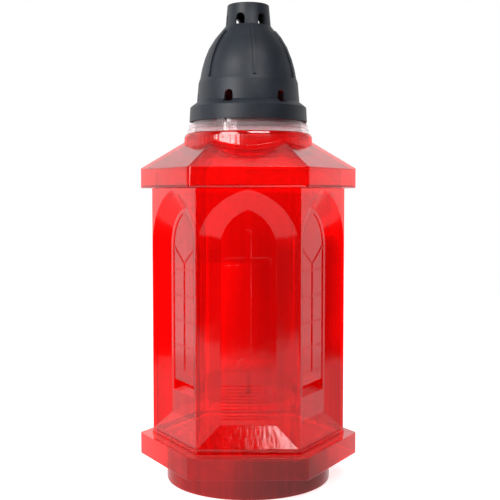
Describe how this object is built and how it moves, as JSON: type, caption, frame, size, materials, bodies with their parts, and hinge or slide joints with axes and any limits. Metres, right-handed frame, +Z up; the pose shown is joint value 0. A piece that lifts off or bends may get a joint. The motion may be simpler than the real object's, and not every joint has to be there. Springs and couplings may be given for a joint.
{
  "type": "grave lantern",
  "caption": "Hexagonal red plastic grave lantern with gothic niches, clear liner, vented black lid and a low candle refill.",
  "frame": {"origin": "centre of the foot, on the ground", "axes": "+Z up along the lantern's axis, -Y towards the front cross face, +X to the right seen from the front"},
  "size_m": [0.1388, 0.121, 0.3],
  "materials": {
    "red_base": "transparent red polystyrene, polished",
    "red_body": "transparent red polystyrene, polished",
    "red_roof": "transparent red polystyrene, polished",
    "clear_plastic": "clear polystyrene, polished",
    "black_plastic": "black plastic, finely grained",
    "refill_cup": "thin clear plastic",
    "wax": "white candle wax",
    "tin": "tinplate",
    "wick_cotton": "waxed cotton cord"
  },
  "bodies": {
    "housing": {"base_plinth": "red_base", "body_shell": "red_body", "roof_cap": "red_roof"},
    "liner": {"inner_cup": "clear_plastic"},
    "lid": {"lid_hood": "black_plastic"},
    "refill": {"candle_cup": "refill_cup", "candle_wax": "wax", "wick_holder": "tin", "wick": "wick_cotton"}
  },
  "joints": [
    {"name": "liner_lift", "type": "slide", "parent": "housing", "child": "liner", "axis": [0, 0, 1], "range_m": [0, 0.18]},
    {"name": "lid_lift", "type": "slide", "parent": "liner", "child": "lid", "axis": [0, 0, 1], "range_m": [0, 0.06]},
    {"name": "refill_lift", "type": "slide", "parent": "liner", "child": "refill", "axis": [0, 0, 1], "range_m": [0, 0.165]}
  ]
}
